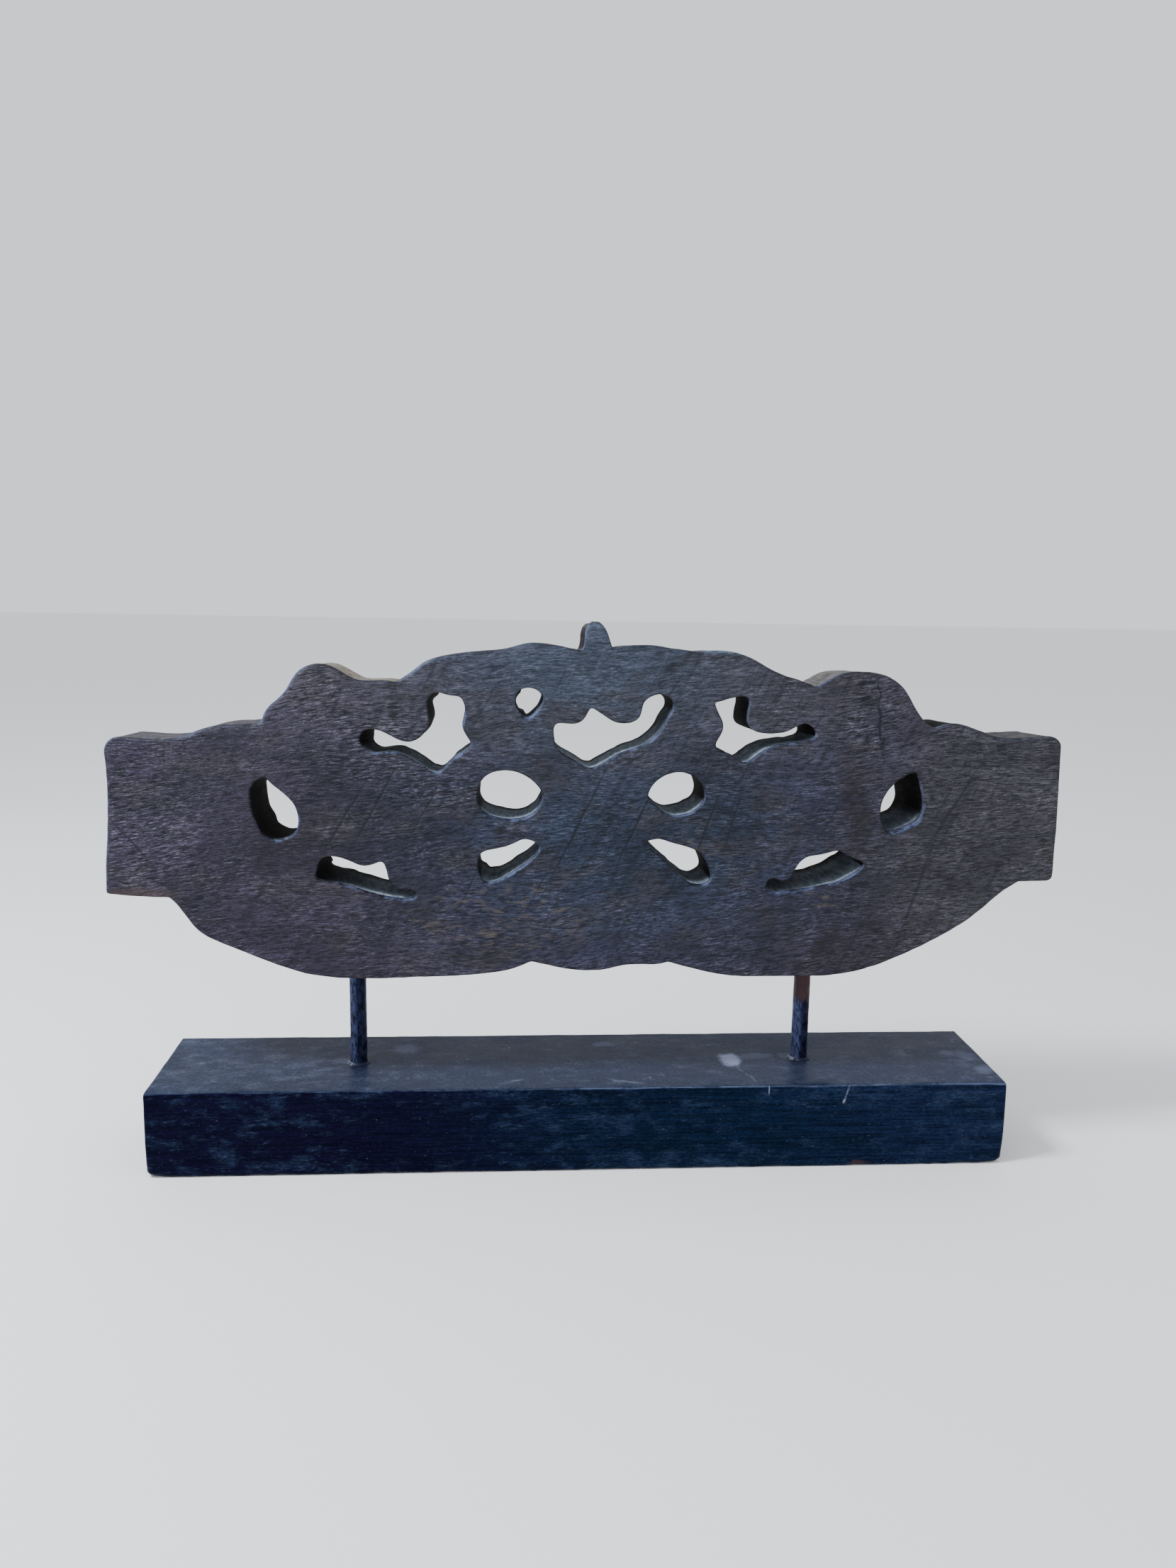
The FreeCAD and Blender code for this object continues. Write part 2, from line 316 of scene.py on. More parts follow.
def distance_to(points, targets):
    """Distance from each point to the nearest target point."""
    result = np.empty(len(points))
    for start in range(0, len(points), BATCH):
        gap = points[start:start + BATCH, None, :] - targets[None, :, :]
        result[start:start + BATCH] = np.sqrt((gap**2).sum(2).min(1))
    return result


def fill_face(loops, spacing, seed):
    """Fills the area inside the loops: points to add, and triangles over the loops' and these."""
    low, high = loops[0].min(0), loops[0].max(0)
    rows = np.arange(low[1], high[1], spacing * math.sqrt(0.75))
    columns = np.arange(low[0], high[0], spacing)
    grid = np.array([(x + row % 2 * spacing / 2, y) for row, y in enumerate(rows) for x in columns])
    stray = np.random.default_rng(seed).uniform(-GRID_JITTER, GRID_JITTER, grid.shape)
    grid = grid + stray * spacing
    grid = grid[inside(grid, loops)]
    rim = np.vstack(loops)
    grid = grid[distance_to(grid, rim) > CLEAR_OF_RIM * spacing]
    points = np.vstack([rim, grid])
    edges, first = [], 0
    for loop in loops:
        count = len(loop)
        edges += [(first + i, first + (i + 1) % count) for i in range(count)]
        first += count
    vectors = [Vector(point) for point in (points / MM).tolist()]
    out = delaunay_2d_cdt(vectors, edges, [], 0, 1e-6, True)
    if len(out[0]) != len(points):
        raise RuntimeError("the face's boundary crosses itself")
    source = np.array([ids[0] for ids in out[3]])
    triangles = source[np.array(out[2])]
    return grid, triangles[inside(points[triangles].mean(1), loops)]


def flat_points(x, y):
    """Points on the plain face's plane, for noise to be read at."""
    return np.column_stack([x, y, np.zeros(len(x))])


def hand_cut(loop, number):
    """One edge as the saw and rasp left it: it wavers, and an opening's corners are crisp."""
    normal, _ = loop_normals(loop)
    flat = flat_points(*loop.T)
    waver = 0.5 * bumps(flat, 4.2 * MM, 70 + number) + 0.5 * bumps(flat, 9 * MM, 90 + number)
    if number == 0:
        wavered = loop + normal * (OUTLINE_OUT + OUTLINE_WAVER * waver)[:, None] * MM
        return np.clip(wavered, loop.min(0), loop.max(0))
    sharper = CRISPER * (loop - round_smooth(loop, CRISP_WIDTH))
    tighter = WIDE_OPENING_IN if np.ptp(loop[:, 0]) > WIDE_OPENING else OPENING_IN
    loop = loop + sharper - normal * (sharper * normal).sum(1).mean()
    normal, _ = loop_normals(loop)
    return loop + normal * (tighter + OPENING_WAVER * waver)[:, None] * MM


def rim_limits(bend):
    """How far the edge may be rounded over at each sample without folding."""
    sharpest = np.max([np.roll(bend, shift) for shift in range(-3, 4)], axis=0)
    return round_smooth(0.5 / np.maximum(sharpest, 1), 2.0)


def plain_relief(x, y):
    """How far below its highest plane the hand-dressed plain face lies."""
    flat = flat_points(x, y)
    slow = hollows(flat, (62 * MM, 38 * MM, 1), 11)
    quick = hollows(flat, (15 * MM, 5 * MM, 1), 12)
    return (0.32 * slow + 0.14 * quick) * MM


def far_relief(x, y, edge):
    """Depth carved out of the far face; `edge` is the distance to the nearest edge."""
    flat = flat_points(x, y)
    groove = 1.5 * np.exp(-(((edge - 7.5 * MM) / (1.1 * MM)) ** 2))
    dish = 1.1 * (1 - smoothstep(0, 6 * MM, edge))
    facets = 0.35 * hollows(flat, (13 * MM, 9 * MM, 1), 21)
    tooling = 0.18 * hollows(flat, (3.6 * MM, 5.2 * MM, 1), 22)
    return (groove + dish + facets + tooling) * MM


def edge_profile(rim, far_rim, thickness):
    """The inset, depth and wear of each ring, from the plain face round to the far face."""
    turns = [0.5 * math.pi * step / RIM_STEPS for step in range(RIM_STEPS + 1)]
    profile = [(rim * (1 - math.sin(turn)), rim * (1 - math.cos(turn)), math.sin(2 * turn))
               for turn in turns]
    for step in range(1, WALL_STEPS):
        share = step / WALL_STEPS
        profile.append((0 * rim, rim + (thickness - rim - far_rim) * share, 0.0))
    for turn in turns:
        inset, rise = far_rim * (1 - math.cos(turn)), far_rim * (1 - math.sin(turn))
        profile.append((inset, thickness - rise, math.sin(2 * turn)))
    return profile


def edge_rings(loop, thickness, is_opening, seed):
    """Rings round one edge from face to face, and two notes on each point: how worn it is, and
    how far onto the outline's wall it is, which is 0 in an opening."""
    normal, bend = loop_normals(loop)
    limit = rim_limits(bend)
    most = np.minimum(MM, limit)
    flat = flat_points(*loop.T)
    up_left = np.clip(normal @ RIM_UP_LEFT, 0, 1)
    rim = (PLAIN_RIM + UP_LEFT_RIM * up_left) * (1 + 0.35 * bumps(flat, 24 * MM, seed)) * MM
    rim = np.minimum(rim, limit)
    far_rim = np.minimum((FAR_RIM + bumps(flat, 18 * MM, seed + 1)) * MM, limit)
    to_right = smoothstep(*RIGHT_PART, loop[:, 0].mean())
    tip = smoothstep(*TIP_BENDS, round_smooth(-bend, 2)) * np.clip(normal[:, 0], 0, 1)
    slant = to_right * np.clip(normal @ WALL_UP_LEFT, 0, 1)
    rings, notes = [], []
    for inset, depth, worn in edge_profile(rim, far_rim, thickness):
        place = np.column_stack([loop, depth])
        rasped = hollows(place, (9 * MM, 9 * MM, 17 * MM), seed + 2)
        grooved = hollows(place, (2.6 * MM, 2.6 * MM, 30 * MM), seed + 3)
        fade = smoothstep(0, 6 * MM, np.minimum(depth, thickness - depth))
        shift = inset + fade * (0.42 * rasped + 0.16 * grooved) * most
        if is_opening:
            cut_freely = (0.7 * bumps(place, (8 * MM, 8 * MM, 40 * MM), seed + 4)
                          + 0.45 * bumps(place, (3.4 * MM, 3.4 * MM, 30 * MM), seed + 5))
            inward = cut_freely + TIP_IN * tip + SLANT_IN * slant
            shift = shift - inward * most * depth / thickness
        ring_points = loop - normal * shift[:, None]
        if is_opening:
            ring_points[:, 0] += ASKEW * (1 - to_right) * depth / thickness
        rings.append(np.column_stack([ring_points, depth]))
        on_outline = 0.0 if is_opening else smoothstep(0, 1, depth / rim)
        notes.append(np.column_stack([worn + 0 * depth, on_outline + 0 * depth]))
    return rings, notes


def build_panel(face_material, wall_material):
    """The plank: outline, openings, rounded edges, plain face and dished far face."""
    points, triangles = merged_mesh(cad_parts["carved_panel"])
    front = facing_front(points, triangles)
    axes = plank_axes(points, front)
    local = points @ axes.T
    corner = np.array([0.0, local[:, 1].min(), local[:, 2].min()])
    local = local - corner
    thickness = local[:, 2].max()
    loops = [hand_cut(round_smooth(even_samples(loop, LOOP_STEP), 0.6), number)
             for number, loop in enumerate(boundary_loops(local, front))]

    made, notes, faces, matte = [], [], [], []
    plain_ends, far_ends = [], []
    count = 0
    for number, loop in enumerate(loops):
        rings, marked = edge_rings(loop, thickness, number > 0, 100 + 10 * number)
        size = len(loop)
        last = len(rings) - 1
        for step in range(last):
            a = count + step * size + np.arange(size)
            b = np.roll(a, -1)
            faces += np.stack([a, a + size, b + size, b], 1).tolist()
            matte += [RIM_STEPS <= step < last - RIM_STEPS] * size
        plain_ends.append((rings[0][:, :2], count + np.arange(size)))
        far_ends.append((rings[last][:, :2], count + last * size + np.arange(size)))
        made += rings
        notes += marked
        count += len(rings) * size

    for ends, spacing, seed, is_far in (
            (plain_ends, PLAIN_GRID, 5, False), (far_ends, FAR_GRID, 6, True)):
        rims, ids = zip(*ends)
        added, filled = fill_face(rims, spacing, seed)
        index = np.concatenate([*ids, count + np.arange(len(added))])
        if is_far:
            filled = filled[:, ::-1]
        faces += index[filled].tolist()
        made.append(np.column_stack([added, np.full(len(added), thickness if is_far else 0.0)]))
        notes.append(np.zeros((len(added), 2)))
        count += len(added)

    made = np.vstack(made)
    edge = distance_to(made[:, :2], np.vstack([rim for rim, _ in far_ends]))
    near_plain = 1 - smoothstep(0, 3 * MM, made[:, 2])
    near_far = 1 - smoothstep(0, 4 * MM, thickness - made[:, 2])
    made[:, 2] += plain_relief(made[:, 0], made[:, 1]) * near_plain
    made[:, 2] -= far_relief(made[:, 0], made[:, 1], edge) * near_far
    world = (made + corner) @ axes
    panel = new_piece("carved_panel", world, faces, "panel", "blackened_hardwood",
                      face_material, wall_material)
    slots = np.zeros(len(faces), np.int32)
    slots[:len(matte)] = matte
    panel.data.polygons.foreach_set("material_index", slots)
    for name, values in zip(("wear", "outside"), np.vstack(notes).T):
        set_attribute(panel, name, values)
    set_attribute(panel, "depth", made[:, 2] / thickness)
    for side in SIDES:
        centre, radius, _, top = rod_size(side)
        cut_bore(panel, centre, radius + BORE_CLEARANCE, top - BORE_DEPTH, top + BORE_GAP)


# ---- the stand's meshes

EDGE_STEPS = np.array([0.0, 0.3, 0.65, 1.05, 1.5, 2.1, 3.0, 4.4]) * MM  # in from a block's edge
BLOCK_STEP = 2.6 * MM  # and over the rest of its sides
BLOCK_ROUNDING = 1.5  # mm
LOW_CORNER_ROUNDING = 2.2  # mm more at the low corners of its ends,
LOW_CORNER_REACH = 9 * MM  # fading over this
CHIP_SIZE = (2.4, 2.2)  # mm in from the block's front top edge, and down from it
CHIPS = (  # along that edge: x, width and depth, in mm
    (27, 5.5, 1.1), (132, 9, 1.2), (139, 4, 0.8), (-118, 5, 0.7), (204, 4.5, 0.8),
    (-196, 6, 0.7), (72, 4, 0.6), (-41, 4.5, 0.6), (-248, 5, 1.2), (247, 6, 1.3),
)
SOCKET_CLEARANCE = 0.25 * MM  # round a rod in the block, where the glue is
ABOVE_BLOCK = 20 * MM  # how far the socket's cutter reaches

BLOCK_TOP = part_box("base_block")[1].z
ROD_AROUND = 56
ROD_STEP = 1.15 * MM
ROD_CHAMFER = 0.8 * MM
ROD_IN_PANEL = 36 * MM

COLLAR_AROUND = 72
SLEEVE_WALL = 0.2 * MM
SLEEVE_SHOULDER = MM  # a ring below the block's top keeps the sleeve straight
BEAD_LIP = 0.15 * MM  # how far from the rod the bead ends
BEAD_STEPS = 9


def edge_positions(length):
    """Positions along a side of the block, denser near its edges."""
    reach = EDGE_STEPS[-1]
    steps = int(round((length - 2 * reach) / BLOCK_STEP))
    middle = np.linspace(reach, length - reach, steps + 1)
    return np.concatenate([EDGE_STEPS[:-1], middle, (length - EDGE_STEPS[:-1])[::-1]])


def box_surface(low, high):
    """Points and quads over a box, denser near its edges."""
    sides = [edge_positions(high[axis] - low[axis]) + low[axis] for axis in range(3)]
    counts = [len(side) for side in sides]
    index, points, faces = {}, [], []

    def corner_id(cell):
        if cell not in index:
            index[cell] = len(points)
            points.append([sides[axis][cell[axis]] for axis in range(3)])
        return index[cell]

    for axis in range(3):
        u, v = (axis + 1) % 3, (axis + 2) % 3
        for end in (0, counts[axis] - 1):
            for i in range(counts[u] - 1):
                for j in range(counts[v] - 1):
                    quad = []
                    for du, dv in ((0, 0), (1, 0), (1, 1), (0, 1)):
                        cell = [0, 0, 0]
                        cell[axis], cell[u], cell[v] = end, i + du, j + dv
                        quad.append(corner_id(tuple(cell)))
                    faces.append(quad if end else quad[::-1])
    return np.array(points), faces


def build_base(material):
    """The block, with soft uneven edges, small chips and two sockets for the rods."""
    low, high = (np.array(corner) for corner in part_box("base_block"))
    points, faces = box_surface(low, high)
    near_floor = points[:, 2] < low[2] + 3 * MM
    ragged = near_floor * (0.7 + 0.7 * bumps(points, 5 * MM, 35))
    uneven = 0.5 * bumps(points, 26 * MM, 31) + 0.3 * bumps(points, 7 * MM, 32)
    radius = (BLOCK_ROUNDING + uneven + ragged) * MM
    to_low_corner = np.hypot(high[0] - np.abs(points[:, 0]), points[:, 2] - low[2])
    low_corner = np.exp(-((to_low_corner / LOW_CORNER_REACH) ** 2))
    radius = radius + LOW_CORNER_ROUNDING * MM * low_corner
    inner = np.clip(points, low + radius[:, None], high - radius[:, None])
    out = points - inner
    worn = np.sort(np.abs(out), axis=1)[:, 1] / radius
    direction = out / np.linalg.norm(out, axis=1)[:, None]
    made = inner + direction * radius[:, None]
    sag = 0.1 * hollows(made, (90 * MM, 30 * MM, 20 * MM), 33)
    ripple = 0.05 * hollows(made, (22 * MM, 3 * MM, 2.4 * MM), 34)
    made = made - direction * ((sag + ripple) * MM)[:, None]
    for x, width, depth in CHIPS:
        gap = (made - np.array([x * MM, low[1], high[2]])) / (np.array([width, *CHIP_SIZE]) * MM)
        bite = depth * MM * np.exp(-(gap**2).sum(1))
        made = made + bite[:, None] * np.array([0.0, 0.72, -0.7])
    block = new_piece("base_block", made, faces, "stand", "black_painted_wood", material)
    set_attribute(block, "wear", np.clip(worn, 0, 1))
    for side in SIDES:
        centre, rod_radius, foot, _ = rod_size(side)
        cut_bore(block, centre, rod_radius + SOCKET_CLEARANCE, foot, high[2] + ABOVE_BLOCK)


def build_rod(side, material):
    """A round bar with brushed-on paint that is uneven where it shows."""
    centre, radius, foot, top = rod_size(side)
    under_panel = top - ROD_IN_PANEL
    heights = np.concatenate([
        [foot, foot + ROD_CHAMFER / 2],
        np.arange(foot + ROD_CHAMFER, top - ROD_CHAMFER, ROD_STEP),
        [top - ROD_CHAMFER, top - ROD_CHAMFER / 2, top],
    ])
    seed = 41 if side == "left" else 47
    points = []
    for z in heights:
        end = max(0.0, ROD_CHAMFER - min(z - foot, top - z))
        shows = smoothstep(BLOCK_TOP, BLOCK_TOP + 3 * MM, z) * (
            1 - smoothstep(under_panel - 3 * MM, under_panel, z))
        place = ring(centre, radius, z, ROD_AROUND)
        rough = hollows(place, (4 * MM, 4 * MM, 9 * MM), seed)
        fine = hollows(place, (2 * MM, 2 * MM, 3 * MM), seed + 1)
        thinner = end + (0.02 + shows * (0.34 * rough + 0.16 * fine)) * MM
        points.append(ring(centre, radius - thinner, z, ROD_AROUND))
    faces = capped_tube(len(heights), ROD_AROUND)
    new_piece(side + "_rod", points, faces, "stand", "black_painted_iron", material)


def build_collar(side, material):
    """Hardened glue: a thin sleeve in the socket, and a lumpy bead at the rod's foot."""
    low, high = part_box(side + "_glue_collar")
    centre = (low + high) / 2
    inner = rod_size(side)[1]
    sleeve = inner + SLEEVE_WALL
    brim = (high.x - low.x) / 2
    unit = circle(COLLAR_AROUND)
    seed = 51 if side == "left" else 57
    reach = inner + (brim - inner) * (0.45 + 0.55 * hollows(unit + 3, 0.5, seed))
    climb = (high.z - BLOCK_TOP) * (0.5 + 0.5 * hollows(unit + 7, 0.6, seed + 1))
    profile = [(inner, low.z), (sleeve, low.z),
               (sleeve, BLOCK_TOP - SLEEVE_SHOULDER), (sleeve, BLOCK_TOP)]
    for share in np.linspace(0.0, 1.0, BEAD_STEPS):
        lip = inner + BEAD_LIP
        bow = (1 - share) ** 1.7
        profile.append((lip + (reach - lip) * bow, BLOCK_TOP + 0.02 * MM + climb * share))
    profile.append((inner, BLOCK_TOP + climb))
    points = [ring(centre, radius, z, COLLAR_AROUND) for radius, z in profile]
    faces = tube(len(profile), COLLAR_AROUND, closed=True)
    new_piece(side + "_glue_collar", points, faces, "stand", "hardened_glue", material)


# ---- materials

ENDLESS = 9000  # mm


class Shader:
    """A node material, built by calls that return the socket that they end in."""

    def __init__(self, name, specular, tint=(1, 1, 1)):
        self.material = bpy.data.materials.new(name)
        self.material.use_nodes = True
        self.tree = self.material.node_tree
        self.surface = self.tree.nodes["Principled BSDF"]
        self.coat({"Specular IOR Level": specular, "Specular Tint": tint})
        self.place = self.add("TexCoord", out="Object")
        self.facing = self.add("NewGeometry", out="Normal")

    def add(self, kind, values=None, out=0, **settings):
        """Adds a node, fills in its inputs and settings, and returns one output."""
        node = self.tree.nodes.new("ShaderNode" + kind)
        for key, value in settings.items():
            setattr(node, key, value)
        for key, value in (values or {}).items():
            self.put(node.inputs[key], value)
        return node.outputs[out]

    def put(self, socket, value):
        """Connects or sets a socket; a colour is set from three numbers."""
        if isinstance(value, bpy.types.NodeSocket):
            self.tree.links.new(value, socket)
        else:
            socket.default_value = (*value, 1) if socket.type == "RGBA" else value

    def coat(self, values):
        """Fills in the surface's own inputs."""
        for name, value in values.items():
            self.put(self.surface.inputs[name], value)

    def math(self, operation, a, b=0):
        return self.add("Math", {0: a, 1: b}, operation=operation)

    def chain(self, operation, values):
        """Runs one operation through all values; a value may be a tuple of factors."""
        values = [self.times(*value) if isinstance(value, tuple) else value for value in values]
        result = values[0]
        for value in values[1:]:
            result = self.math(operation, result, value)
        return result

    def times(self, *factors):
        return self.chain("MULTIPLY", factors)

    def plus(self, *terms):
        return self.chain("ADD", terms)

    def highest(self, *masks):
        return self.chain("MAXIMUM", masks)

    def less(self, mask):
        """One minus a mask."""
        return self.math("SUBTRACT", 1, mask)

    def ramp(self, value, low, high, start=0, end=1):
        """Eases from `start` to `end` while the value goes from `low` to `high`."""
        values = {"Value": value, "From Min": low, "From Max": high, "To Min": start, "To Max": end}
        return self.add("MapRange", values, interpolation_type="SMOOTHSTEP")

    def mix(self, factor, a, b):
        return self.add("Mix", {0: factor, 6: a, 7: b}, out=2, data_type="RGBA")

    def cover(self, color, mask, strength, paint):
        """Lays a paint over a colour where a mask is."""
        return self.mix(self.times(mask, strength), color, paint)

    def scaled(self, color, factor):
        return self.add("VectorMath", {0: color, "Scale": factor}, operation="SCALE")

    def attribute(self, name):
        return self.add("Attribute", out="Fac", attribute_name=name)

    def towards(self, x, y, z, low, high):
        """1 on surfaces that look one way, easing to 0 between two cosines."""
        values = {0: self.facing, 1: tuple(Vector((x, y, z)).normalized())}
        cosine = self.add("VectorMath", values, out="Value", operation="DOT_PRODUCT")
        return self.ramp(cosine, low, high)

    def near(self, place, centre, size, tilt, spin):
        """Coordinates about a centre, in units of a size; mm and degrees."""
        values = {"Vector": place, "Location": tuple(part * MM for part in centre),
                  "Rotation": (0, math.radians(-tilt), math.radians(spin)),
                  "Scale": tuple(part * MM for part in size)}
        return self.add("Mapping", values, vector_type="TEXTURE")

    def noise(self, size, detail, rough, tilt=0, warp=0, place=None, shift=0, out=0):
        """Noise from 0 to 1 with features `size` mm along X, Y and Z, tilted in degrees."""
        where = self.near(place or self.place, (shift, shift / 2, shift / 3), size, tilt, 0)
        values = {"Vector": where, "Scale": 1, "Detail": detail, "Roughness": rough,
                  "Distortion": warp}
        return self.add("TexNoise", values, out)

    def region(self, centre, size, tilt, spin, soft, place):
        """1 in an ellipse and 0 well outside it, with an edge as wide as `soft` says."""
        where = self.near(place or self.place, centre, size, tilt, spin)
        away = self.add("VectorMath", {0: where}, out="Value", operation="LENGTH")
        return self.ramp(away, 1 + soft, 1 - soft)

    def oval(self, x, z, width, height, tilt=0, soft=0.6, place=None):
        """A soft ellipse on surfaces that look along Y: middle and half sizes in mm."""
        return self.region((x, 0, z), (width, ENDLESS, height), tilt, 0, soft, place)

    def level_oval(self, x, y, width, depth, spin=0, soft=0.6, place=None):
        """A soft ellipse on surfaces that look up: middle and half sizes in mm."""
        return self.region((x, y, 0), (width, depth, ENDLESS), 0, spin, soft, place)

    def wobbled(self, reach, amount, detail=2):
        """The surface's coordinates pushed about by up to `amount` mm over `reach` mm."""
        cloud = self.noise((reach, reach, reach), detail, 0.5, out="Color")
        centred = self.add("VectorMath", {0: cloud, 1: (0.5, 0.5, 0.5)}, operation="SUBTRACT")
        moved = self.scaled(centred, 2 * amount * MM)
        return self.add("VectorMath", {0: self.place, 1: moved}, operation="ADD")

    def bump(self, height, distance):
        """The surface's normal over a height from 0 to 1 that stands for `distance` mm."""
        return self.add("Bump", {"Height": height, "Distance": distance * MM, "Strength": 1})

    def finish(self, color, roughness, normal):
        """Sets colour, roughness and normal, and returns the material."""
        self.coat({"Base Color": color, "Roughness": roughness, "Normal": normal})
        return self.material


# Linear colours, matched to the photo under this scene's light.
# The second colour here is a painted bluish sheen, not a stain.
VIOLET_STAIN, BLUE_SHEEN = (0.0322, 0.0242, 0.043), (0.0195, 0.0262, 0.0475)
GREY_STAIN, BROWN_STAIN = (0.044, 0.041, 0.049), (0.04, 0.034, 0.037)
PALE_VIOLET, PALE_BLUE = (0.057, 0.053, 0.066), (0.059, 0.073, 0.104)
PALE_FIBRE, SAW_BLACK = (0.04, 0.038, 0.044), (0.006, 0.006, 0.009)
WORN_DARK, TAN_FLECK = (0.011, 0.008, 0.008), (0.088, 0.07, 0.054)
# Painted highlights: the first for the lamp's glint on the rims, the second for a sheen along the
# top edge.
RIM_HIGHLIGHT, SHEEN = (0.066, 0.084, 0.165), (0.1, 0.152, 0.225)
BARE_RIM, WORN_END = (0.078, 0.05, 0.04), (0.05, 0.031, 0.026)
RUBBED_PAINT = (0.0175, 0.0285, 0.06)

SAW_MARKS = (  # x, z, half length and half width in mm, tilt in degrees, strength
    (214, 212, 34, 0.9, 58, 0.65), (194, 162, 30, 0.9, 72, 0.6), (-6, 200, 36, 0.8, 64, 0.75),
    (27, 199, 22, 0.7, 66, 0.7), (67, 195, 24, 0.8, 70, 0.7), (-139, 203, 20, 0.9, 59, 0.7),
    (-122, 209, 22, 0.8, 62, 0.6), (95, 240, 20, 0.7, 60, 0.6), (-30, 160, 18, 0.7, 62, 0.5),
    (-256, 191, 14, 0.5, -49, 0.8), (-70, 160, 18, 0.7, 66, 0.5), (45, 275, 14, 0.7, 58, 0.5),
    (-95, 205, 24, 0.7, 62, 0.45), (84, 203, 22, 0.8, 74, 0.6), (52, 171, 18, 0.7, 70, 0.5),
)
DUST_AND_LIGHT_IN_OPENINGS = (  # x, z, half width and half height in mm, how much more dust and painted top light
    (0, 215, 78, 60, 0.5), (-108, 160, 17, 10, 0.7), (145, 174, 30, 12, 0.25),
    (108, 247, 24, 12, 0.4),
)
RUBS_ON_FRONT = (  # x, z, half width and half height in mm, how much more rubbed
    (-215, 20, 50, 34, 0.04), (-165, 30, 40, 10, 0.02), (-20, 36, 60, 16, 0.08),
    (-125, 40, 26, 9, 0.07), (-110, 5, 60, 6, 0.1), (55, 4, 55, 8, 0.13),
    (177, 46, 60, 7, 0.12), (228, 20, 34, 30, 0.07), (-98, 22, 34, 17, -0.16),
)
SMUDGES_ON_TOP = (  # x, y, half width and half depth in mm
    (230, 5, 6, 4), (241, 1, 6, 9), (243, -23, 7, 6), (108, 3, 13, 5), (15, 24, 9, 4),
    (-146, 2, 7, 5), (127, 3, 6, 5), (-108, 20, 10, 8),
)


